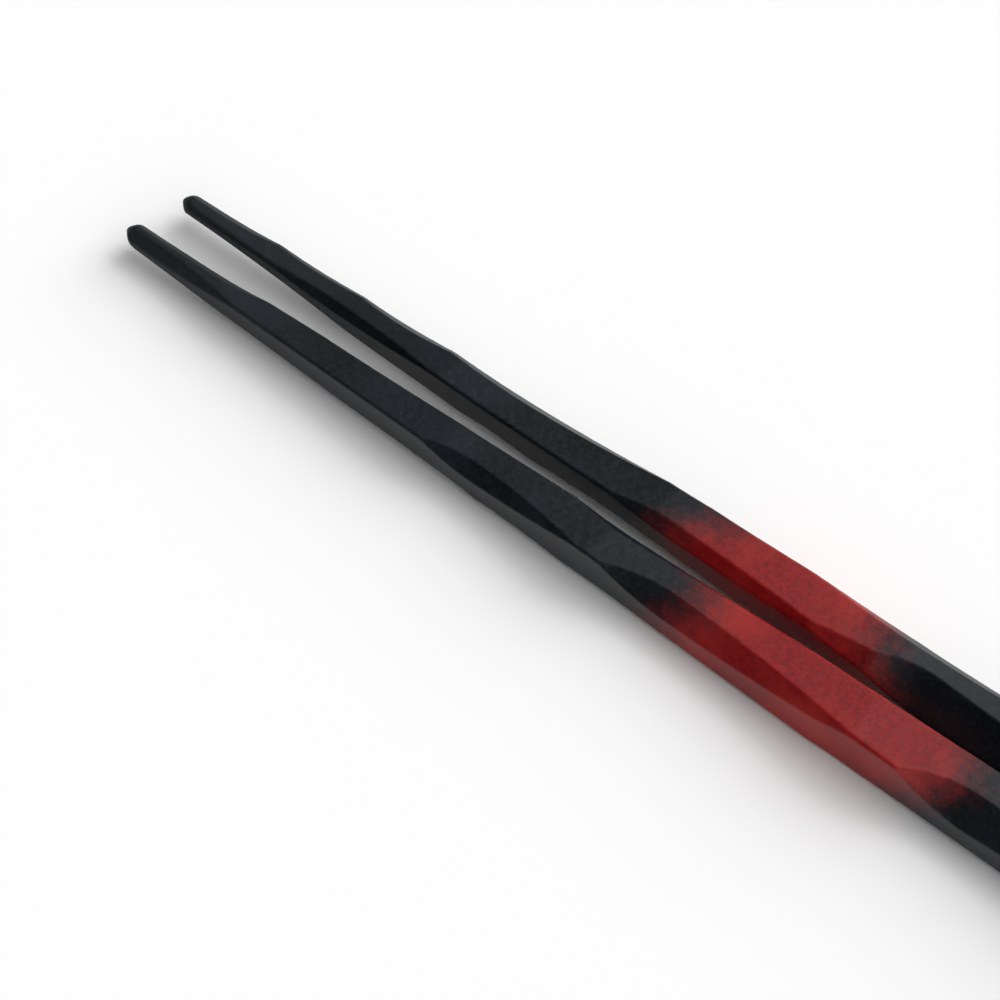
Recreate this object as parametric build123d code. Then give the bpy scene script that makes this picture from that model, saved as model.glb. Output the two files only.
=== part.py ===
from build123d import *
from math import atan2, cos, degrees, sin, sqrt
import os

os.makedirs("parts", exist_ok=True)

# A pair of hand-carved, lacquered wooden chopsticks, lying side by side as they rest.
# +X runs from the tips to the butt ends, -Y is the side nearer the viewer, +Z is up,
# and the underside of both handles lies on z = 0.

# One stick
stick_length = 230.0
tip_width = 2.45
butt_width = 7.8
rest_flat_length = 115.0
tip_end_radius = 0.3
nose_radius = 1.45
nose_length = 2.0
tip_blend_length = 12.0
butt_ease = 0.8

# Carving: how deep the deepest stroke goes into a face, and into an edge
face_cut_depth = 0.3
edge_cut_depth = 2.4

# How the two lie together
tip_spacing = 6.65
butt_clearance = 0.8
tip_stagger = 2.0

# How far each cut reaches past the wood
overrun = 3.0

# Carving strokes. Each is (start, deepest place, end) in shares of the stick's length,
# measured from the tip, and its depth in shares of the deepest cut of its kind.
# Most bite quickly on the tip's side and run out slowly towards the handle.
near_stroke_shares = {
    "front": [
        (0.05, 0.1, 0.205, 0.4),
        (0.2, 0.26, 0.405, 0.2),
        (0.398, 0.415, 0.49, 0.6),
        (0.47, 0.5, 0.6, 0.7),
    ],
    "front_top": [
        (-0.06, 0.018, 0.08, 0.32),
        (0.18, 0.212, 0.275, 0.45),
        (0.28, 0.32, 0.43, 0.71),
        (0.39, 0.42, 0.465, 0.18),
        (0.435, 0.472, 0.6, 0.9),
    ],
    "top": [
        (0.06, 0.095, 0.195, 0.4),
        (0.19, 0.225, 0.31, 0.3),
        (0.27, 0.34, 0.43, 1.0),
        (0.4, 0.45, 0.56, 0.6),
    ],
    "back_top": [
        (-0.045, 0.052, 0.09, 0.33),
        (0.06, 0.1, 0.14, 0.06),
        (0.25, 0.288, 0.42, 0.29),
        (0.435, 0.5, 0.59, 0.09),
    ],
    "back": [(-0.05, 0.03, 0.12, 0.4)],
    "bottom_back": [(-0.06, 0.02, 0.13, 0.19)],
    "bottom": [(-0.02, 0.07, 0.16, 0.4)],
    "bottom_front": [
        (-0.06, 0.013, 0.1, 0.17),
        (0.1, 0.2, 0.218, 0.2),
        (0.205, 0.235, 0.27, 0.17),
        (0.25, 0.29, 0.34, 0.14),
        (0.4, 0.49, 0.6, 0.26),
    ],
}

far_stroke_shares = {
    "front": [
        (0.05, 0.11, 0.19, 0.15),
        (0.18, 0.26, 0.33, 0.25),
        (0.32, 0.37, 0.48, 0.2),
        (0.47, 0.52, 0.61, 0.5),
    ],
    "front_top": [
        (0.05, 0.1, 0.165, 0.34),
        (0.13, 0.19, 0.26, 0.08),
        (0.25, 0.29, 0.4, 0.38),
        (0.35, 0.41, 0.5, 0.58),
        (0.38, 0.42, 0.56, 1.0),
        (0.53, 0.56, 0.62, 0.38),
    ],
    "top": [
        (0.05, 0.11, 0.19, 0.9),
        (0.14, 0.2, 0.28, 1.0),
        (0.27, 0.34, 0.41, 0.3),
        (0.4, 0.45, 0.56, 0.9),
    ],
    "back_top": [
        (-0.045, 0.028, 0.07, 0.33),
        (0.04, 0.08, 0.135, 0.32),
        (0.085, 0.128, 0.175, 0.38),
        (0.13, 0.2, 0.285, 0.43),
        (0.26, 0.283, 0.31, 0.12),
        (0.335, 0.43, 0.52, 0.39),
        (0.5, 0.55, 0.61, 0.23),
    ],
    "back": [(-0.03, 0.06, 0.15, 0.4)],
    "bottom_back": [(-0.04, 0.03, 0.1, 0.23)],
    "bottom": [(-0.05, 0.04, 0.13, 0.4)],
    "bottom_front": [
        (-0.045, 0.03, 0.115, 0.38),
        (0.165, 0.195, 0.23, 0.23),
        (0.195, 0.262, 0.4, 0.43),
        (0.35, 0.42, 0.48, 0.25),
        (0.47, 0.55, 0.63, 0.26),
    ],
}

# Each row carries on to the butt with strokes of these lengths and depths, one after
# the other, each lapping a little over the one before it
stroke_length_shares = (0.135, 0.155, 0.125, 0.145)
stroke_depth_shares = (0.55, 0.4, 0.5)
stroke_lap_share = 0.01
bite_share = 0.3

# Directions that the strokes face, in degrees round the stick from the front, over the top
turn = 360
row_angles = {
    "front": 0,
    "front_top": turn / 8,
    "top": turn / 4,
    "back_top": turn * 3 / 8,
    "back": turn / 2,
    "bottom_back": turn * 5 / 8,
    "bottom": turn * 3 / 4,
    "bottom_front": turn * 7 / 8,
}
edge_rows = ("front_top", "back_top", "bottom_back", "bottom_front")
edge_reach = sqrt(2)


def half_width(x):
    """Half the width of the uncut stick: a taper that eases off towards the butt."""
    left = 1 - x / stick_length
    return (butt_width - (butt_width - tip_width) * left**2) / 2


def half_width_slope(x):
    """Slope of the uncut side at a place along the stick."""
    left = 1 - x / stick_length
    return (butt_width - tip_width) * left / stick_length


rest_start = stick_length - rest_flat_length
rest_tilt = atan2(half_width(stick_length) - half_width(rest_start), rest_flat_length)
butt_half = half_width(stick_length)
tip_half = half_width(0)
clear = edge_reach * butt_half + overrun


def stroke_side(deepest, low_height, slope, far_end, far_height):
    """One side of a stroke: level with the uncut side at its deepest point, then out."""
    middle = (deepest + far_end) / 2
    middle_height = low_height + slope * (middle - deepest)
    return Bezier((deepest, low_height), (middle, middle_height), (far_end, far_height))


def stroke_cutter(stroke, reach, depth):
    """The wood that one stroke takes off, facing +Z."""
    start = stroke[0] * stick_length
    deepest = stroke[1] * stick_length
    end = stroke[2] * stick_length
    start_height = reach * half_width(start)
    end_height = reach * half_width(end)
    low_height = reach * half_width(deepest) - stroke[3] * depth
    slope = reach * half_width_slope(deepest)
    bite = stroke_side(deepest, low_height, slope, start, start_height)
    run_out = stroke_side(deepest, low_height, slope, end, end_height)
    over = Polyline((end, end_height), (end, clear), (start, clear), (start, start_height))
    outline = Plane.XZ * make_face([bite, run_out, over])
    return extrude(outline, clear, both=True)


def uncut_stick():
    """Square taper with eased butt edges, a flat to rest on and a blunt nose."""
    ease_start = stick_length - butt_ease
    bend_x = stick_length / 2
    side = Bezier((0, tip_half), (bend_x, butt_half), (stick_length, butt_half))
    other_side = Bezier((0, -tip_half), (bend_x, -butt_half), (stick_length, -butt_half))
    tip_end = Line((0, -tip_half), (0, tip_half))
    butt_end = Line((stick_length, -butt_half), (stick_length, butt_half))
    plan = extrude(make_face([side, other_side, tip_end, butt_end]), clear, both=True)
    elevation = extrude(
        Plane.XZ * make_face([side, other_side, tip_end, butt_end]), clear, both=True
    )
    rest_wedge = Plane.XZ * make_face(
        Polyline(
            (rest_start, -half_width(rest_start)),
            (stick_length, -butt_half),
            (stick_length, -clear),
            (rest_start, -clear),
            close=True,
        )
    )
    blank = plan & elevation
    blank -= extrude(rest_wedge, clear, both=True)
    butt_corner = (stick_length, edge_reach * butt_half - butt_ease)
    nose_start = (0, tip_end_radius)
    nose_end = (nose_length, nose_radius)
    envelope = make_face(
        [
            Bezier(nose_start, (nose_length / 2, nose_radius), nose_end),
            Polyline(
                nose_end,
                (tip_blend_length, edge_reach * half_width(tip_blend_length)),
                (ease_start, clear),
                butt_corner,
                (stick_length, 0),
                (0, 0),
                nose_start,
            ),
        ]
    )
    return blank & revolve(envelope, Axis.X)


def carried_on(strokes):
    """The strokes of a row, carried on to the butt."""
    strokes = list(strokes)
    while strokes[-1][2] < 1:
        start = strokes[-1][2] - stroke_lap_share
        length = stroke_length_shares[len(strokes) % len(stroke_length_shares)]
        depth = stroke_depth_shares[len(strokes) % len(stroke_depth_shares)]
        strokes.append((start, start + length * bite_share, start + length, depth))
    return strokes


def carved_stick(stroke_shares):
    """One stick: the square taper after all its strokes, the rest flat left whole."""
    stick = uncut_stick()
    for row, angle in row_angles.items():
        strokes = carried_on(stroke_shares[row])
        if row == "bottom":
            strokes = [stroke for stroke in strokes if stroke[2] * stick_length < rest_start]
        if row in edge_rows:
            reach, depth = edge_reach, edge_cut_depth
        else:
            reach, depth = 1, face_cut_depth
        facing = Rot(turn / 4 - angle, 0, 0)
        stick -= [facing * stroke_cutter(stroke, reach, depth) for stroke in strokes]
    return stick


# The handles' flat undersides lie on z = 0; the butts nearly touch, the tips lie apart,
# and the far stick lies a little further back
lying = Rot(0, -degrees(rest_tilt), 0)
rest_height = butt_half * cos(rest_tilt) - stick_length * sin(rest_tilt)
pair_length = stick_length * cos(rest_tilt) + tip_stagger
butt_spacing = butt_width + butt_clearance
splay = atan2(butt_spacing - tip_spacing, stick_length)
near_place = Pos(-pair_length / 2, -butt_spacing / 2, rest_height)
far_place = Pos(tip_stagger, tip_spacing, 0) * Rot(0, 0, degrees(splay))

near_stick = near_place * lying * carved_stick(near_stroke_shares)
far_stick = near_place * far_place * lying * carved_stick(far_stroke_shares)

export_step(near_stick, "parts/chopstick_near.step")
export_step(far_stick, "parts/chopstick_far.step")
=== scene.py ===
# %% [markdown]
# # A pair of carved, lacquered chopsticks
#
# The real pair is two sticks of hardwood. Each is planed to a slim square rod, then cut
# with a knife in long leaf-shaped strokes, and at last dipped in black lacquer and
# sprayed with a band of red. We start from the CAD frame, which gives the size and the
# place of both sticks, and everything that we make here stays inside its box.

# %% Load the packed frame
import math

import bpy
import numpy as np
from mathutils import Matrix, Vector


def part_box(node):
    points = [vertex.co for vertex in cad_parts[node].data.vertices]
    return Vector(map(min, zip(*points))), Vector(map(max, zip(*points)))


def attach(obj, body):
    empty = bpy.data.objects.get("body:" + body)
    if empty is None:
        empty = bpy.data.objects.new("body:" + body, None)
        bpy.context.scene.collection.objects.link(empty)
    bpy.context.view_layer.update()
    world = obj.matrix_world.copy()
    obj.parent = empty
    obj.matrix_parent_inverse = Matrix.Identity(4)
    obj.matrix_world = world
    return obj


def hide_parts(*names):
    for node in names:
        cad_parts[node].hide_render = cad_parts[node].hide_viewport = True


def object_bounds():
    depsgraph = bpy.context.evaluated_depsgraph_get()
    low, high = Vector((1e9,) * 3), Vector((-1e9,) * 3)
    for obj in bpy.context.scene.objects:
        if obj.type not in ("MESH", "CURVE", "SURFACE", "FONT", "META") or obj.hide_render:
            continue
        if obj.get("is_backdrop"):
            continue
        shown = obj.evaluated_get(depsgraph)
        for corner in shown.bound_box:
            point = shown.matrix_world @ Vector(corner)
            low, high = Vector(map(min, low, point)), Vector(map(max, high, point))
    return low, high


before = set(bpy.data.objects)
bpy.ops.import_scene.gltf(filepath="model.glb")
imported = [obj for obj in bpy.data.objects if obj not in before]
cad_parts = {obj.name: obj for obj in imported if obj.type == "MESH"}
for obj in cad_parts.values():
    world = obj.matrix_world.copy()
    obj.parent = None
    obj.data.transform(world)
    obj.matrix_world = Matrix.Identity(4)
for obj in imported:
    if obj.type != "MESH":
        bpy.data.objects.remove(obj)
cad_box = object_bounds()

for node in sorted(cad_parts):
    low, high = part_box(node)
    print(node, [round(1000 * (b - a), 2) for a, b in zip(low, high)], "mm")

# %% [markdown]
# ## The sizes
#
# Sizes are in millimetres, as a maker would write them, and become metres only when a
# mesh is made. They are the CAD source's own sizes, because the surfaces below have to
# lie on the CAD solids. The last five belong to the finish alone: how far the lacquer
# rounds a carved ridge on the handle and at the tip, the length over which the one
# turns into the other, how far the butt's rim is rounded, and how much of the tip is
# dull.

# %% Sizes of one stick, and how the two lie
MM = 0.001
LENGTH = 230.0
TIP_WIDTH = 2.45
BUTT_WIDTH = 7.8
REST_FLAT_LENGTH = 115.0
TIP_END_RADIUS = 0.3
NOSE_RADIUS = 1.45
NOSE_LENGTH = 2.0
TIP_BLEND_LENGTH = 12.0
FACE_CUT_DEPTH = 0.3
EDGE_CUT_DEPTH = 2.4
TIP_SPACING = 6.65
BUTT_CLEARANCE = 0.8
TIP_STAGGER = 2.0

RIDGE_ROUND = 0.3
TIP_RIDGE_ROUND = 0.58
SOFT_TIP_LENGTH = 60.0
BUTT_ROUND = 0.55
DULL_TIP_LENGTH = 55.0


def half_width(x):
    """Half the width of the uncut rod: it grows with the distance from the tip, less
    and less, as one minus the square of what is left of the length."""
    left = 1 - x / LENGTH
    return (BUTT_WIDTH - (BUTT_WIDTH - TIP_WIDTH) * left**2) / 2


print("width at 100 mm from the tip:", round(2 * half_width(100.0), 2), "mm")

# %% [markdown]
# ## The carving strokes
#
# A knife stroke bites in quickly and runs out slowly, so it leaves a long leaf with a
# blunt end. The strokes lie in eight rows round the stick: four on its faces and four
# along its edges. We could model each leaf by hand, or cut it with a boolean, but a row
# is only a height above the axis that varies along the stick, so one short table of
# strokes says all of it. The tables are the CAD source's own.

# %% The strokes of both sticks
ROWS = (
    "front",
    "front_top",
    "top",
    "back_top",
    "back",
    "bottom_back",
    "bottom",
    "bottom_front",
)
# Each stroke: start, deepest place and end in shares of the length, then its depth in
# shares of the deepest cut of its kind
NEAR_STROKES = {
    "front": [
        (0.05, 0.1, 0.205, 0.4),
        (0.2, 0.26, 0.405, 0.2),
        (0.398, 0.415, 0.49, 0.6),
        (0.47, 0.5, 0.6, 0.7),
    ],
    "front_top": [
        (-0.06, 0.018, 0.08, 0.32),
        (0.18, 0.212, 0.275, 0.45),
        (0.28, 0.32, 0.43, 0.71),
        (0.39, 0.42, 0.465, 0.18),
        (0.435, 0.472, 0.6, 0.9),
    ],
    "top": [
        (0.06, 0.095, 0.195, 0.4),
        (0.19, 0.225, 0.31, 0.3),
        (0.27, 0.34, 0.43, 1.0),
        (0.4, 0.45, 0.56, 0.6),
    ],
    "back_top": [
        (-0.045, 0.052, 0.09, 0.33),
        (0.06, 0.1, 0.14, 0.06),
        (0.25, 0.288, 0.42, 0.29),
        (0.435, 0.5, 0.59, 0.09),
    ],
    "back": [(-0.05, 0.03, 0.12, 0.4)],
    "bottom_back": [(-0.06, 0.02, 0.13, 0.19)],
    "bottom": [(-0.02, 0.07, 0.16, 0.4)],
    "bottom_front": [
        (-0.06, 0.013, 0.1, 0.17),
        (0.1, 0.2, 0.218, 0.2),
        (0.205, 0.235, 0.27, 0.17),
        (0.25, 0.29, 0.34, 0.14),
        (0.4, 0.49, 0.6, 0.26),
    ],
}
FAR_STROKES = {
    "front": [
        (0.05, 0.11, 0.19, 0.15),
        (0.18, 0.26, 0.33, 0.25),
        (0.32, 0.37, 0.48, 0.2),
        (0.47, 0.52, 0.61, 0.5),
    ],
    "front_top": [
        (0.05, 0.1, 0.165, 0.34),
        (0.13, 0.19, 0.26, 0.08),
        (0.25, 0.29, 0.4, 0.38),
        (0.35, 0.41, 0.5, 0.58),
        (0.38, 0.42, 0.56, 1.0),
        (0.53, 0.56, 0.62, 0.38),
    ],
    "top": [
        (0.05, 0.11, 0.19, 0.9),
        (0.14, 0.2, 0.28, 1.0),
        (0.27, 0.34, 0.41, 0.3),
        (0.4, 0.45, 0.56, 0.9),
    ],
    "back_top": [
        (-0.045, 0.028, 0.07, 0.33),
        (0.04, 0.08, 0.135, 0.32),
        (0.085, 0.128, 0.175, 0.38),
        (0.13, 0.2, 0.285, 0.43),
        (0.26, 0.283, 0.31, 0.12),
        (0.335, 0.43, 0.52, 0.39),
        (0.5, 0.55, 0.61, 0.23),
    ],
    "back": [(-0.03, 0.06, 0.15, 0.4)],
    "bottom_back": [(-0.04, 0.03, 0.1, 0.23)],
    "bottom": [(-0.05, 0.04, 0.13, 0.4)],
    "bottom_front": [
        (-0.045, 0.03, 0.115, 0.38),
        (0.165, 0.195, 0.23, 0.23),
        (0.195, 0.262, 0.4, 0.43),
        (0.35, 0.42, 0.48, 0.25),
        (0.47, 0.55, 0.63, 0.26),
    ],
}
# Every row carries on to the butt with strokes of these lengths and depths
NEXT_LENGTHS = (0.135, 0.155, 0.125, 0.145)
NEXT_DEPTHS = (0.55, 0.4, 0.5)
LAP = 0.01
BITE = 0.3


def carried_on(strokes):
    """The strokes of a row, and then one after another until they reach the butt."""
    strokes = list(strokes)
    while strokes[-1][2] < 1:
        start = strokes[-1][2] - LAP
        length = NEXT_LENGTHS[len(strokes) % len(NEXT_LENGTHS)]
        depth = NEXT_DEPTHS[len(strokes) % len(NEXT_DEPTHS)]
        strokes.append((start, start + length * BITE, start + length, depth))
    return strokes


print("strokes:", {row: len(carried_on(NEAR_STROKES[row])) for row in ROWS})

# %% [markdown]
# ## From strokes to heights
#
# A row's height is the height of the uncut rod, less the cut. One stroke's cut is a
# parabola: its full depth at the deepest place, and nothing at its two ends. Where two
# strokes overlap, the deeper one counts, and a crisp ridge is left where they meet. The
# lacquer softens that ridge, so each height is averaged over a short stretch.

# %% Heights of the eight rows
REST_START = LENGTH - REST_FLAT_LENGTH
SOFT_STRETCH = 0.22
SOFT_SAMPLES = 5


def cut_at(x, strokes, deepest_cut):
    """How much a row of strokes takes off at x. On each side of its deepest place, a
    stroke takes its depth times one minus the square of the way out to its end."""
    cut = np.zeros_like(x)
    for start, deepest, end, depth in strokes:
        before = (x / LENGTH - deepest) / (start - deepest)
        after = (x / LENGTH - deepest) / (end - deepest)
        way_out = np.maximum(before, after)
        cut = np.maximum(cut, depth * deepest_cut * (1 - way_out**2))
    return cut


def row_heights(x, table):
    """Heights of the eight rows at each x: the uncut height, which is the half width on
    a face and root two of it on an edge, less the cut. The bottom row never reaches
    past the flat that the handle rests on."""
    heights = []
    for number, row in enumerate(ROWS):
        on_edge = number % 2 == 1
        reach, deepest_cut = (
            (math.sqrt(2), EDGE_CUT_DEPTH) if on_edge else (1.0, FACE_CUT_DEPTH)
        )
        strokes = carried_on(table[row])
        if row == "bottom":
            strokes = [s for s in strokes if s[2] * LENGTH < REST_START]
        heights.append(reach * half_width(x) - cut_at(x, strokes, deepest_cut))
    flat_rise = half_width(LENGTH) - half_width(REST_START)
    flat = half_width(REST_START) + (x - REST_START) * flat_rise / REST_FLAT_LENGTH
    bottom = ROWS.index("bottom")
    on_flat = np.minimum(heights[bottom], flat)
    heights[bottom] = np.where(x > REST_START, on_flat, heights[bottom])
    return np.stack(heights, axis=1)


def softened_heights(x, table):
    """Row heights averaged over a short stretch on both sides of x, inside the
    stick."""
    shifts = np.linspace(-SOFT_STRETCH, SOFT_STRETCH, SOFT_SAMPLES)
    return np.mean(
        [row_heights(np.clip(x + s, 0, LENGTH), table) for s in shifts], axis=0
    )


print("near rows at 68 mm:", np.round(row_heights(np.array([68.0]), NEAR_STROKES), 2))

# %% [markdown]
# ## From heights to a rounded section
#
# At one place along the stick, the eight heights make a polygon, and lacquer rounds its
# corners as a rolling ball would. Bevel would do that on a mesh, but on leaves that
# shrink to nothing it leaves folded slivers. So we round by sums: make the polygon
# smaller by the ball's radius, ask how far it reaches in each direction, and add the
# radius back. The section is what lies inside all of those supporting lines, and it
# never leaves the carved wood's own outline.

# %% Rounded sections
AROUND = 128
TURN = 2 * math.pi
LOOK_ASIDE = AROUND // 6
# Directions round the stick, which start at the front and go over the top, as rows do
angles = np.arange(AROUND) * TURN / AROUND


def ball_radius(x):
    """Radius of the ball: the dipped coat gathers at the slim tip, so it is largest
    there and shrinks with the square of what is left of the soft stretch."""
    left = 1 - np.minimum(x / SOFT_TIP_LENGTH, 1)
    ball = RIDGE_ROUND + (TIP_RIDGE_ROUND - RIDGE_ROUND) * left**2
    return ball[:, None]


def reach_of_section(heights, ball):
    """How far the rounded section reaches in each of the directions. A corner cut by an
    edge row has two corner points, and a whole corner has the same point twice. The
    reach is the farthest corner point of the shrunken polygon along the direction, plus
    the ball's radius."""
    shrunk = heights - ball
    faces, edges = shrunk[:, 0::2], shrunk[:, 1::2]
    next_faces = np.roll(faces, -1, axis=1)
    edges = np.minimum(edges, (faces + next_faces) / math.sqrt(2))
    beside_face = math.sqrt(2) * edges - faces
    beside_next = math.sqrt(2) * edges - next_faces
    quarter = np.arange(4) * TURN / 4
    reach = np.full((len(heights), AROUND), -np.inf)
    for along, across in ((faces, beside_face), (beside_next, next_faces)):
        for side in range(4):
            toward = np.cos(angles - quarter[side])
            aside = np.sin(angles - quarter[side])
            corner = along[:, side, None] * toward + across[:, side, None] * aside
            reach = np.maximum(reach, corner)
    return reach + ball


def radius_of_section(reach):
    """Distance from the axis to the surface along each ray: the nearest supporting
    line, where a line at an angle is met at its reach over the cosine. Lines more than
    a sixth of a turn aside never are the nearest here, so they aren't asked."""
    steps = range(-LOOK_ASIDE, LOOK_ASIDE + 1)
    met = [np.roll(reach, -k, axis=1) / math.cos(k * TURN / AROUND) for k in steps]
    return np.min(met, axis=0)


print("rays:", AROUND, "each looks at", 2 * LOOK_ASIDE + 1, "supporting lines")

# %% [markdown]
# ## One stick as one surface
#
# The stick is a function of two parameters: the distance along it and the angle round
# it. Stations lie closest at the tip and along the half that is seen from near by. A
# tip is cut to a small cone with a blunt nose, so the radius there is also held inside
# that turned shape. A very slight waviness is what a knife leaves on every face.

# %% Stations along the stick
SEEN_END = 122.0
NOSE_STATIONS, SEEN_STATIONS, HANDLE_STATIONS, RIM_STATIONS = 14, 448, 274, 8
FIRST_SHARE = 0.01
NOSE_CROWDING = 1.3


def stations():
    """Distances from the tip: steps that grow over the tip's nose, then even steps as
    far as the photo shows the stick, longer ones on to the butt, and even steps of
    angle round the butt's rim."""
    nose = NOSE_LENGTH * np.linspace(FIRST_SHARE, 1, NOSE_STATIONS) ** NOSE_CROWDING
    seen = np.linspace(NOSE_LENGTH, SEEN_END, SEEN_STATIONS)[1:]
    handle = np.linspace(SEEN_END, LENGTH - BUTT_ROUND, HANDLE_STATIONS)[1:-1]
    round_rim = np.linspace(0, math.pi / 2, RIM_STATIONS)
    rim = LENGTH - BUTT_ROUND * (1 - np.sin(round_rim))
    return np.concatenate([nose, seen, handle, rim])


along = stations()
seen_step = along[NOSE_STATIONS] - along[NOSE_STATIONS - 1]
print("stations:", len(along), "each", round(seen_step, 2), "mm on where they are seen")

# %% Radii of one stick
TIP_HOLD = 24
WAVE_DEPTH = 0.012
WAVES = 14
WAVES_PER_MM = (0.05, 0.9)
MOST_WAVE_TURNS = 9
WAVES_FADE_IN = 3.0


def turned_radius(x):
    """Radius of the turned shape that holds the tip: it grows over the nose by one
    minus the square of what is left of it, and then as a straight cone out to the
    uncut corners and beyond them."""
    left = 1 - np.minimum(x / NOSE_LENGTH, 1)
    nose = NOSE_RADIUS - (NOSE_RADIUS - TIP_END_RADIUS) * left**2
    wide = math.sqrt(2) * half_width(TIP_BLEND_LENGTH)
    past_nose = (x - NOSE_LENGTH) / (TIP_BLEND_LENGTH - NOSE_LENGTH)
    cone = NOSE_RADIUS + (wide - NOSE_RADIUS) * past_nose
    return np.where(x < NOSE_LENGTH, nose, cone)


def knife_waves(x, seed):
    """Slight waves between 0 and 1: a sum of sines that run along and round the stick,
    each with a whole number of turns so that they close."""
    rng = np.random.default_rng(seed)
    total = np.zeros((len(x), AROUND))
    for _ in range(WAVES):
        per_mm = rng.uniform(*WAVES_PER_MM)
        turns = rng.integers(-MOST_WAVE_TURNS, MOST_WAVE_TURNS + 1)
        start = rng.uniform(0, TURN)
        total += np.sin(TURN * per_mm * x[:, None] + turns * angles + start)
    return 0.5 + 0.5 * np.clip(total / math.sqrt(2 * WAVES), -1, 1)


def stick_radii(x, table, seed):
    """Radius at each station and ray: the rounded section, drawn in round the butt's
    rim, held inside the turned tip, and less the knife's waves. It is held by a high
    power of its share of the turned radius, which passes smoothly to the smaller of
    the two."""
    heights = softened_heights(x, table)
    into_rim = np.clip((x - (LENGTH - BUTT_ROUND)) / BUTT_ROUND, 0, 1)[:, None]
    drawn_in = BUTT_ROUND * (1 - np.sqrt(1 - into_rim**2))
    section = radius_of_section(reach_of_section(heights, ball_radius(x)) - drawn_in)
    turned = turned_radius(x)[:, None]
    held = section * (1 + (section / turned) ** TIP_HOLD) ** (-1 / TIP_HOLD)
    faded_in = np.clip(x / WAVES_FADE_IN, 0, 1)[:, None]
    return held - WAVE_DEPTH * knife_waves(x, seed) * faded_in


nose_radii = stick_radii(along[:NOSE_STATIONS], NEAR_STROKES, 1).mean(axis=1)
print("radii over the near stick's nose:", np.round(nose_radii[::4], 2), "mm")

# %% [markdown]
# ## How the sticks lie
#
# A stick lies on the flat underside of its handle, so its axis tilts down a little
# towards the butt and the slim tip stays clear of the table. The two nearly touch at
# their butts and lie apart at their tips, and the far one lies a little further back.

# %% Places of both sticks
REST_TILT = math.atan2(half_width(LENGTH) - half_width(REST_START), REST_FLAT_LENGTH)
REST_HEIGHT = BUTT_WIDTH / 2 * math.cos(REST_TILT) - LENGTH * math.sin(REST_TILT)
PAIR_LENGTH = LENGTH * math.cos(REST_TILT) + TIP_STAGGER
BUTT_SPACING = BUTT_WIDTH + BUTT_CLEARANCE
SPLAY = math.atan2(BUTT_SPACING - TIP_SPACING, LENGTH)
NEAR_TIP = np.array([-PAIR_LENGTH / 2, -BUTT_SPACING / 2, REST_HEIGHT])
FAR_TIP = NEAR_TIP + np.array([TIP_STAGGER, TIP_SPACING, 0.0])


def laid_down(points, tip, splay):
    """Points of a stick that lies along X, tilted about Y so that its handle rests,
    turned about Z by the splay, and carried to where its tip is."""
    x, y, z = points.T
    tilted_x = x * math.cos(REST_TILT) - z * math.sin(REST_TILT)
    tilted_z = x * math.sin(REST_TILT) + z * math.cos(REST_TILT)
    turned_x = tilted_x * math.cos(splay) - y * math.sin(splay)
    turned_y = tilted_x * math.sin(splay) + y * math.cos(splay)
    return np.stack([turned_x, turned_y, tilted_z], axis=1) + tip


print("tilt", round(math.degrees(REST_TILT), 3), "splay", round(math.degrees(SPLAY), 3))

# %% [markdown]
# ## The red band
#
# The red was sprayed on between the tip and the handle, from above and in front, so its
# two ends are slanting and grainy, not ringed. Where an end lies is a plane through the
# stick: a distance along it that changes with the cosine and the sine of the angle. The
# mesh keeps how deep each point lies inside each end as an attribute, and the material
# reads it, so that one lacquer serves both sticks.

# %% Where the band begins and ends
# Each end: its distance from the tip, then how much further out it lies at the front
# and at the top
NEAR_BAND = ((74.0, 0.0, 2.6), (102.6, -0.3, 2.8))
FAR_BAND = ((69.3, -3.6, 0.0), (91.0, 0.8, -1.8))


def inside_ends(x, band):
    """Depth inside the band, in millimetres, from its tipward and its buttward end."""
    ends = [
        place + front * np.cos(angles) + top * np.sin(angles)
        for place, front, top in band
    ]
    return x[:, None] - ends[0], ends[1] - x[:, None]


near_band_on_top = [place + top for place, front, top in NEAR_BAND]
print("near band on top:", near_band_on_top, "mm from the tip")

# %% [markdown]
# ## Rings and faces
#
# A stick is closed wood, so its surface has to be closed too. The rings of stations are
# joined by quads, and each end gets rings that shrink to a point at its middle. A loft
# between curves could do the same, but here we know every point already, and whole
# arrays go into the mesh at once.

# %% Rings of points
END_RINGS = (0.8, 0.55, 0.3)


def stick_points(x, radii):
    """Rings of points: along X, then the ray's direction round the axis times its
    radius. The end rings are the first and last ring shrunk towards the axis."""
    ends = np.ones(len(END_RINGS))
    shares = np.array(END_RINGS)[:, None]
    rings_x = np.concatenate([x[0] * ends, x, x[-1] * ends])
    rings_r = np.concatenate([shares[::-1] * radii[0], radii, shares * radii[-1]])
    points = np.stack(
        [
            np.broadcast_to(rings_x[:, None], rings_r.shape),
            -rings_r * np.cos(angles),
            rings_r * np.sin(angles),
        ],
        axis=-1,
    )
    poles = np.array([[x[0], 0.0, 0.0], [x[-1], 0.0, 0.0]])
    return rings_x, rings_r, np.concatenate([points.reshape(-1, 3), poles])


RINGS = len(along) + 2 * len(END_RINGS)
print("rings a stick:", RINGS)


# %% Faces between the rings
def stick_faces(rings):
    """Quads between neighbouring rings, and a fan of triangles at each pole, all facing
    outwards."""
    ring = np.arange(rings - 1)[:, None] * AROUND
    here = np.arange(AROUND)
    there = (here + 1) % AROUND
    quads = np.stack(
        [ring + here, ring + AROUND + here, ring + AROUND + there, ring + there],
        axis=-1,
    ).reshape(-1, 4)
    first, last = rings * AROUND, rings * AROUND + 1
    base = (rings - 1) * AROUND
    tip_fan = np.stack([np.full(AROUND, first), here, there], axis=-1)
    butt_fan = np.stack([np.full(AROUND, last), base + there, base + here], axis=-1)
    return quads, tip_fan, butt_fan


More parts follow.
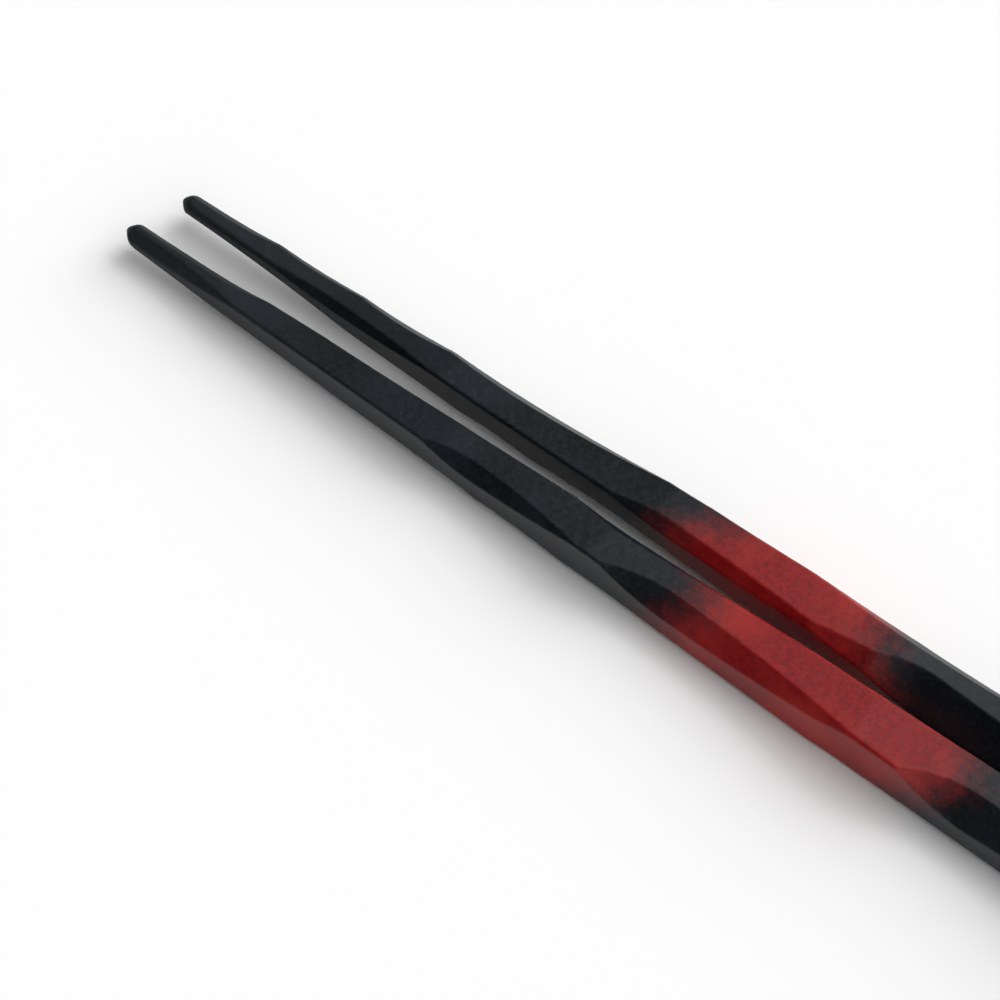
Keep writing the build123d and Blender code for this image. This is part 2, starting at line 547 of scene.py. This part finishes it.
print("quads and triangles a stick:", [len(part) for part in stick_faces(RINGS)])

# %% [markdown]
# ## The bake's map
#
# When the part leaves Blender, its lacquer is painted into an image, and a UV map says
# which face gets which part of it. A stick unrolls to a strip nearly ten times longer
# than it is wide, which would waste almost the whole image, and an automatic unwrap
# would cut it into many small islands. So we cut the strip into nine equal lengths and
# lay each over one square of the image, with a small gap between them.

# %% UVs of one stick
UV_SQUARES = 3
UV_GAP = 0.008


def uv_of_faces(rings_x, rings_r):
    """UVs of every face corner: the strip is cut into squares in steps of equal
    length, and within one the distance along is across and the angle is up."""
    width = rings_r.mean(axis=1)
    steps = np.hypot(np.diff(rings_x), np.diff(width))
    run = np.concatenate([[0.0], np.cumsum(steps)])
    run = (run + width[0]) / (run[-1] + width[0] + width[-1])
    squares = UV_SQUARES**2
    middle = (run[:-1] + run[1:]) / 2
    square = np.minimum((middle * squares).astype(int), squares - 1)
    size = 1 / UV_SQUARES

    def placed(which, u, v):
        u = UV_GAP + (1 - 2 * UV_GAP) * (u * squares - which)
        v = UV_GAP + (1 - 2 * UV_GAP) * v
        return (which % UV_SQUARES + u) * size, (which // UV_SQUARES + v) * size

    here = np.arange(AROUND) / AROUND
    there = here + 1 / AROUND
    shape = (len(rings_x) - 1, AROUND)
    lower = np.clip(run[:-1], square / squares, (square + 1) / squares)[:, None]
    upper = np.clip(run[1:], square / squares, (square + 1) / squares)[:, None]
    which = np.broadcast_to(square[:, None], shape)
    quads = []
    for u, v in ((lower, here), (upper, here), (upper, there), (lower, there)):
        u, v = np.broadcast_to(u, shape), np.broadcast_to(v, shape)
        quads.append(placed(which, u, v))
    quads = np.moveaxis(np.array(quads), (0, 1), (2, 3)).reshape(-1, 2)
    fans = []
    for which, edge, pole in ((0, run[0], 0.0), (squares - 1, run[-1], 1.0)):
        first, second = (here, there) if which == 0 else (there, here)
        for u, v in ((pole, here), (edge, first), (edge, second)):
            fans.append(placed(which, np.full(AROUND, u), v))
    fans = np.array(fans).reshape(2, 3, 2, AROUND)
    fans = np.moveaxis(fans, 3, 1).reshape(-1, 2)
    return np.concatenate([quads, fans])


print("UV squares:", UV_SQUARES**2, "a gap of", UV_GAP, "of a square round each")

# %% [markdown]
# ## What the mesh tells the lacquer
#
# A coat of lacquer is thin on a sharp ridge, use dulls the tip, and the red lies where
# it was sprayed. All of that belongs to the place on the stick. Painting it by hand
# would take a texture for each stick, so every point keeps a few numbers instead, which
# the material reads as attributes: its place on its own stick, how deep it lies inside
# each end of the band, how near the tip it is, and how sharp the ridge is there.

# %% Ridges where the coat is thin
# A ball too small to round anything, and how far, in shares of the real ball's radius,
# the sharpest ridges are drawn in
NO_BALL = 1e-4
SHARPEST = 0.12


def hard_ridges(table):
    """How far the lacquer has drawn each point in from the carved polygon, as a share
    of what it does on the sharpest ridges: 0 on a flat, 1 on those."""
    heights = softened_heights(along, table)
    sharp = radius_of_section(reach_of_section(heights, NO_BALL))
    ball = ball_radius(along)
    soft = radius_of_section(reach_of_section(heights, ball))
    return np.clip((sharp - soft) / (SHARPEST * ball), 0, 1)


ridges_share = (hard_ridges(NEAR_STROKES) > 0.5).mean()
print("near stick's surface that is ridge:", round(100 * ridges_share, 1), "%")

# %% Mesh of one stick
PATTERN_SHIFT = 37.0


def stick_mesh(name, table, band, tip, splay, seed):
    """The mesh of one stick in its place, in metres, with its attributes. Each seed
    moves the stick to another part of the lacquer's patterns, and the end rings have
    no ridges."""
    radii = stick_radii(along, table, seed)
    rings_x, rings_r, points = stick_points(along, radii)
    quads, tip_fan, butt_fan = stick_faces(len(rings_x))
    faces = quads.tolist() + tip_fan.tolist() + butt_fan.tolist()
    mesh = bpy.data.meshes.new(name)
    mesh.from_pydata((laid_down(points, tip, splay) * MM).tolist(), [], faces)
    mesh.polygons.foreach_set("use_smooth", np.ones(len(faces), bool))
    uv = mesh.uv_layers.new(name="OFBake")
    corners = uv_of_faces(rings_x, rings_r).astype(np.float32)
    uv.uv.foreach_set("vector", corners.ravel())
    place = mesh.attributes.new("place_on_stick", "FLOAT_VECTOR", "POINT")
    shifted = points + np.array([seed * PATTERN_SHIFT, 0.0, 0.0])
    place.data.foreach_set("vector", shifted.astype(np.float32).ravel())
    from_tip_end, from_butt_end = inside_ends(rings_x, band)
    near_tip = (1 - np.minimum(rings_x / DULL_TIP_LENGTH, 1)) ** 2
    ends = np.zeros((len(END_RINGS), AROUND))
    for label, shown in (
        ("past_tipward_end", from_tip_end),
        ("before_buttward_end", from_butt_end),
        ("near_tip", np.broadcast_to(near_tip[:, None], from_tip_end.shape)),
        ("ridge", np.concatenate([ends, hard_ridges(table), ends])),
    ):
        poles = [shown[0].mean(), shown[-1].mean()]
        values = np.concatenate([shown.ravel(), poles]).astype(np.float32)
        mesh.attributes.new(label, "FLOAT", "POINT").data.foreach_set("value", values)
    return mesh


corner_count = sum(part.size for part in stick_faces(RINGS))
print("points a stick:", RINGS * AROUND + 2, "face corners:", corner_count)


# %% Both sticks
def make_stick(name, node, table, band, tip, splay, seed):
    """One finished stick, which stands for its CAD solid."""
    mesh = stick_mesh(name, table, band, tip, splay, seed)
    stick = bpy.data.objects.new(name, mesh)
    bpy.context.scene.collection.objects.link(stick)
    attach(stick, "root")
    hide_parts(node)
    return stick


near_stick = make_stick(
    "near_stick", "chopstick_near", NEAR_STROKES, NEAR_BAND, NEAR_TIP, 0.0, 1
)
far_stick = make_stick(
    "far_stick", "chopstick_far", FAR_STROKES, FAR_BAND, FAR_TIP, SPLAY, 2
)
for stick, node in ((near_stick, "chopstick_near"), (far_stick, "chopstick_far")):
    points = np.empty(len(stick.data.vertices) * 3)
    stick.data.vertices.foreach_get("co", points)
    points = points.reshape(-1, 3)
    low, high = np.array(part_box(node))
    inside = np.array([points.min(axis=0) - low, high - points.max(axis=0)])
    print(stick.name, "inside its CAD solid's box by, in micrometres:")
    print(np.round(inside * 1e6, 1))

# %% [markdown]
# ## Writing shader maths as sums
#
# A material is a graph of nodes, and a formula in it soon needs ten Math nodes. A small
# class wraps a socket and lets Python's operators add those nodes for us. Every other
# kind of node comes from its one method, which sets the node's settings first and then
# its sockets.

# %% A socket that can stand in a sum
class Wire:
    """A socket of a node tree. Sums of wires and numbers add Math nodes."""

    def __init__(self, tree, socket=None):
        self.tree = tree
        self.socket = socket

    def node(self, kind, settings=None, inputs=None, output=0):
        """Adds a node of a kind, with its settings first and then values or wires for
        its sockets, and gives one of its outputs."""
        made = self.tree.nodes.new(kind)
        for name, value in (settings or {}).items():
            setattr(made, name, value)
        for name, value in (inputs or {}).items():
            if isinstance(value, Wire):
                self.tree.links.new(value.socket, made.inputs[name])
            else:
                made.inputs[name].default_value = value
        return Wire(self.tree, made.outputs[output])

    def math(self, operation, other, swapped=False):
        """A Math node of this wire and another wire or number."""
        inputs = {0: other, 1: self} if swapped else {0: self, 1: other}
        return self.node("ShaderNodeMath", {"operation": operation}, inputs)

    def __add__(self, other):
        return self.math("ADD", other)

    __radd__ = __add__

    def __sub__(self, other):
        return self.math("SUBTRACT", other)

    def __rsub__(self, other):
        return self.math("SUBTRACT", other, swapped=True)

    def __mul__(self, other):
        return self.math("MULTIPLY", other)

    __rmul__ = __mul__

    def rising(self, low, high):
        """0 below low, 1 above high, and a smooth rise between them."""
        return self.node(
            "ShaderNodeMapRange",
            {"interpolation_type": "SMOOTHSTEP"},
            {"Value": self, "From Min": low, "From Max": high},
        )

    def blend(self, below, above):
        """A colour between two, with this wire as the share of the second."""
        return self.node(
            "ShaderNodeMix", {"data_type": "RGBA"}, {0: self, 6: below, 7: above}, 2
        )


def attribute(start, name, output="Fac"):
    """Reads one of the mesh's attributes."""
    return start.node("ShaderNodeAttribute", {"attribute_name": name}, output=output)


def noise(place, scale, detail, roughness):
    """A noise pattern between 0 and 1, with its features per millimetre, how many
    finer layers it has, and how much they count."""
    return place.node(
        "ShaderNodeTexNoise",
        {},
        {"Vector": place, "Scale": scale, "Detail": detail, "Roughness": roughness},
    )


def stretched(place, length):
    """A place that makes a pattern longer along the stick."""
    return place.node(
        "ShaderNodeVectorMath",
        {"operation": "MULTIPLY"},
        {0: place, 1: (1 / length, 1.0, 1.0)},
    )


print("a wire has:", [name for name, part in vars(Wire).items() if callable(part)])

# %% [markdown]
# ## The lacquer
#
# Real lacquer is a thick, deep coat with a satin gloss. What tells it from plain black
# plastic is small: cloudy patches a little bluer, a fine mottle of dust in the black
# and of thin places in the red, grains of spray that thin out at the band's ends, a
# faint line of wood grain that shows through as relief, specks, ridges where the coat
# is thin and rubbed, and tips that use has made dull. A painted image could hold all of
# it, but would blur close up. So noise at a few sizes makes the patterns, the gloss
# comes from the shader, and both read the stick's own place, so that the sticks differ
# and no pattern slides.

# %% The lacquer's colours
BLACK = (0.0022, 0.0042, 0.0055, 1.0)
BLUE_BLACK = (0.0040, 0.0078, 0.0130, 1.0)
DUSTY_BLACK = (0.0150, 0.0185, 0.0210, 1.0)
RUBBED_BLACK = (0.0120, 0.0115, 0.0120, 1.0)
DEEP_RED = (0.155, 0.0020, 0.0035, 1.0)
RED = (0.285, 0.0040, 0.0055, 1.0)
BRIGHT_RED = (0.390, 0.0180, 0.0110, 1.0)
# From where to where in its pattern each colour comes in, and how much of it
BLUE_IN_CLOUDS = (0.3, 0.7)
DUST_IN_MOTTLE, DUST_SHARE = (0.42, 0.8), 0.8
RUBBED_IN_PATCHES, RUBBED_SHARE = (0.42, 0.75), 0.6
RED_IN_MOTTLE = (0.3, 0.7)
BRIGHT_IN_CLOUDS, BRIGHT_SHARE = (0.4, 0.75), 0.6
WORN_IN_PATCHES, WORN_SHARE = (0.3, 0.6), 0.45


def lacquer_colour(cloud, patches, mottle, ridge, red_share):
    """Black that is bluer in clouds, dusty in the mottle and rubbed on the ridges;
    red that is deep where the coat is thin and brighter in clouds and on the ridges;
    and from one to the other by the share of red."""
    dusty = DUST_SHARE * mottle.rising(*DUST_IN_MOTTLE)
    rubbed = RUBBED_SHARE * ridge * patches.rising(*RUBBED_IN_PATCHES)
    bright = BRIGHT_SHARE * cloud.rising(*BRIGHT_IN_CLOUDS)
    worn = WORN_SHARE * ridge * patches.rising(*WORN_IN_PATCHES)
    black = cloud.rising(*BLUE_IN_CLOUDS).blend(BLACK, BLUE_BLACK)
    black = rubbed.blend(dusty.blend(black, DUSTY_BLACK), RUBBED_BLACK)
    red = mottle.rising(*RED_IN_MOTTLE).blend(DEEP_RED, RED)
    red = worn.blend(bright.blend(red, BRIGHT_RED), BRIGHT_RED)
    return red_share.blend(black, red)


for label, colour in (("black", BLACK), ("red", RED)):
    print(label, "reflects", [round(100 * value, 1) for value in colour[:3]], "%")

# %% The lacquer's patterns
# Each pattern: features per millimetre, finer layers, and how much they count
CLOUD = (0.16, 3.0, 0.5)
PATCHES = (0.75, 3.0, 0.6)
RIPPLE = (1.3, 2.0, 0.45)
MOTTLE = (2.4, 4.0, 0.7)
WOOD_GRAIN = (3.2, 3.0, 0.55)
SPRAY_GRAINS = (5.5, 3.0, 0.75)
DUST = (9.0, 1.0, 0.5)
WOOD_GRAIN_LENGTH = 28.0
MEAN = 0.5
# From where to where in the dust a speck is seen, and stands up
SPECK_SEEN = (0.66, 0.74)
SPECK_RAISED = (0.66, 0.8)
# How far, in millimetres, grains and patches throw the band's ends about, and how far
# to both sides each end fades
GRAINS_THROW, PATCHES_THROW = 9.0, 6.0
FADE_IN, FADE_OUT = 5.0, 4.5

print("finest specks:", round(1 / DUST[0], 2), "mm; widest clouds:", 1 / CLOUD[0], "mm")

# %% The lacquer's gloss and relief
# The coat's roughness, and how much more each thing adds to it
ROUGHNESS = 0.37
CLOUD_DULLS, MOTTLE_DULLS, RIDGE_DULLS = 0.16, 0.2, 0.05
RED_DULLS, SPECK_DULLS, TIP_DULLS = 0.06, 0.12, 0.32
REFRACTION = 1.45
# The relief's height in metres, and each pattern's share of it
RELIEF_HEIGHT = 0.00006
RELIEF_STRENGTH = 0.35
RIPPLE_SHARE, WOOD_GRAIN_SHARE = 0.5, 0.28
SPRAY_SHARE, SPECK_SHARE = 0.1, 0.1


def lacquer():
    """Black lacquer with a sprayed red band."""
    material = bpy.data.materials.new("lacquer")
    material.use_nodes = True
    tree = material.node_tree
    surface = tree.nodes["Principled BSDF"]
    start = Wire(tree)
    place = attribute(start, "place_on_stick", "Vector")
    ridge = attribute(start, "ridge")

    cloud = noise(place, *CLOUD)
    patches = noise(place, *PATCHES)
    mottle = noise(place, *MOTTLE)
    grains = noise(place, *SPRAY_GRAINS)
    dust = noise(place, *DUST)
    wood_grain = noise(stretched(place, WOOD_GRAIN_LENGTH), *WOOD_GRAIN)
    ripple = noise(place, *RIPPLE)

    spray = GRAINS_THROW * (grains - MEAN) + PATCHES_THROW * (patches - MEAN)
    past_start = attribute(start, "past_tipward_end") + spray
    before_end = attribute(start, "before_buttward_end") + spray
    fade_in = past_start.rising(-FADE_IN, FADE_IN)
    fade_out = before_end.rising(-FADE_OUT, FADE_OUT)
    red_share = fade_in * fade_out
    colour = lacquer_colour(cloud, patches, mottle, ridge, red_share)
    tree.links.new(colour.socket, surface.inputs["Base Color"])

    rough = ROUGHNESS + CLOUD_DULLS * (cloud - MEAN) + MOTTLE_DULLS * (mottle - MEAN)
    rough = rough + RIDGE_DULLS * ridge + RED_DULLS * red_share
    rough = rough + SPECK_DULLS * dust.rising(*SPECK_SEEN)
    rough = rough + TIP_DULLS * attribute(start, "near_tip")
    tree.links.new(rough.socket, surface.inputs["Roughness"])

    relief = RIPPLE_SHARE * ripple + WOOD_GRAIN_SHARE * wood_grain
    relief = relief + SPRAY_SHARE * grains + SPECK_SHARE * dust.rising(*SPECK_RAISED)
    bump = start.node(
        "ShaderNodeBump",
        {},
        {"Height": relief, "Strength": RELIEF_STRENGTH, "Distance": RELIEF_HEIGHT},
    )
    tree.links.new(bump.socket, surface.inputs["Normal"])
    surface.inputs["IOR"].default_value = REFRACTION
    return material


lacquer_coat = lacquer()
for stick in (near_stick, far_stick):
    stick.data.materials.append(lacquer_coat)
print("lacquer nodes:", len(lacquer_coat.node_tree.nodes))

# %% [markdown]
# ## Table, light and camera
#
# The pair lies on a white table top that runs out of view. One very broad lamp stands
# behind the sticks, so that their shadow falls softly towards us, and a pale room fills
# the rest. The room is dim in front and on the left, as it is behind a photographer:
# that keeps it out of the facets that face us, so that they read dark against the
# facets on top. A soft glow on the ceiling is what the facets on top mirror more and
# more from the tips to the handles, so that they grow paler that way.

# %% Table top
TABLE_REACH = 3.0
TABLE_DROP = 0.00002
TABLE_WHITE = (0.985, 0.985, 0.982, 1.0)
TABLE_ROUGHNESS = 0.9


def white_table():
    """A dull white finish that mirrors nothing."""
    material = bpy.data.materials.new("white_table")
    material.use_nodes = True
    surface = material.node_tree.nodes["Principled BSDF"]
    surface.inputs["Base Color"].default_value = TABLE_WHITE
    surface.inputs["Roughness"].default_value = TABLE_ROUGHNESS
    surface.inputs["Specular IOR Level"].default_value = 0.0
    return material


around_table = ((-1, -1), (1, -1), (1, 1), (-1, 1))
corners = [(x * TABLE_REACH, y * TABLE_REACH, -TABLE_DROP) for x, y in around_table]
table_mesh = bpy.data.meshes.new("table_top")
table_mesh.from_pydata(corners, [], [(0, 1, 2, 3)])
table_mesh.materials.append(white_table())
table_top = bpy.data.objects.new("table_top", table_mesh)
bpy.context.scene.collection.objects.link(table_top)
table_top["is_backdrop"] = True
print("table top:", 2 * TABLE_REACH, "m wide")

# %% Lamp
KEY_STRENGTH = 1.75
KEY_ANGLE = 48.0
KEY_FROM = (0.35, 0.76, 0.548)
KEY_DISTANCE = 1.5

key = bpy.data.lights.new("key", "SUN")
key.energy = KEY_STRENGTH
key.angle = math.radians(KEY_ANGLE)
key_lamp = bpy.data.objects.new("key", key)
bpy.context.scene.collection.objects.link(key_lamp)
key_lamp.location = [KEY_DISTANCE * share for share in KEY_FROM]
# Lean the lamp over from straight above, then turn it to shine from where it stands
key_lean = math.atan2(math.hypot(KEY_FROM[0], KEY_FROM[1]), KEY_FROM[2])
key_round = math.atan2(KEY_FROM[1], KEY_FROM[0])
key_lamp.rotation_euler = (key_lean, 0.0, key_round + math.pi / 2)
print("lamp:", round(90 - math.degrees(key_lean)), "degrees above the table")

# %% Room
ROOM_WHITE = (1.0, 1.0, 1.0, 1.0)
ROOM_FILL = 0.54
PALER_TO_RIGHT = 1.6
DIMMER_TO_FRONT = 0.9
CEILING_GLOW = 1.3
GLOW_FROM = (0.1, 0.42, 0.902)
GLOW_STARTS, GLOW_IS_FULL = 0.88, 0.985


def pale_room():
    """A room that is pale on the right and dim on the left and in front, with a glow on
    its ceiling. Its strength is a fill, plus a share of the direction's X, less a share
    of how far the direction points to the front, plus the glow, and never below
    nothing. The glow rises with the cosine of the angle between a direction and its
    middle."""
    world = bpy.data.worlds.new("pale_room")
    world.use_nodes = True
    tree = world.node_tree
    sky = tree.nodes["Background"]
    sky.inputs["Color"].default_value = ROOM_WHITE
    direction = Wire(tree).node("ShaderNodeTexCoord")
    to_right = direction.node("ShaderNodeSeparateXYZ", {}, {0: direction})
    to_back = direction.node("ShaderNodeSeparateXYZ", {}, {0: direction}, 1)
    in_front = to_back.math("MINIMUM", 0.0)
    along_glow = direction.node(
        "ShaderNodeVectorMath",
        {"operation": "DOT_PRODUCT"},
        {0: direction, 1: GLOW_FROM},
        1,
    )
    strength = ROOM_FILL + PALER_TO_RIGHT * to_right + DIMMER_TO_FRONT * in_front
    strength = strength + CEILING_GLOW * along_glow.rising(GLOW_STARTS, GLOW_IS_FULL)
    tree.links.new(strength.math("MAXIMUM", 0.0).socket, sky.inputs["Strength"])
    return world


bpy.context.scene.world = pale_room()
bpy.context.scene.view_settings.view_transform = "Standard"
print("room nodes:", len(bpy.context.scene.world.node_tree.nodes))

# %% Camera
# The view was fitted to both sticks' outlines: 58 degrees above the table, 39 degrees
# round to the right of the front, and 0.3 m away. It looks at a place beside the near
# stick, given from its tip, a little above the table.
EYE_LEVEL = math.radians(58.0)
EYE_ROUND = math.radians(39.07)
EYE_DISTANCE = 0.300
LENS = 107.84
SENSOR_WIDTH = 36.0
NEAREST, FARTHEST = 0.01, 20.0
LOOKED_AT_FROM_TIP = (52.22, -1.69)
LOOKED_AT_HEIGHT = 3.0

camera = bpy.data.cameras.new("camera")
camera.lens = LENS
camera.sensor_width = SENSOR_WIDTH
camera.clip_start, camera.clip_end = NEAREST, FARTHEST
camera_object = bpy.data.objects.new("camera", camera)
bpy.context.scene.collection.objects.link(camera_object)
eye_way = np.array(
    [
        math.sin(EYE_ROUND) * math.cos(EYE_LEVEL),
        -math.cos(EYE_ROUND) * math.cos(EYE_LEVEL),
        math.sin(EYE_LEVEL),
    ]
)
looked_at = np.append(NEAR_TIP[:2] + LOOKED_AT_FROM_TIP, LOOKED_AT_HEIGHT) * MM
camera_object.location = (looked_at + EYE_DISTANCE * eye_way).tolist()
camera_object.rotation_euler = (math.pi / 2 - EYE_LEVEL, 0.0, EYE_ROUND)
bpy.context.scene.camera = camera_object
print("camera at:", [round(value, 4) for value in camera_object.location])

# We measured the CAD part's box before we made anything. Now we measure the scene's and
# print both.

visual_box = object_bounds()
for label, box in (("CAD", cad_box), ("visual", visual_box)):
    print(label, [[round(1000 * v, 3) for v in corner] for corner in box])
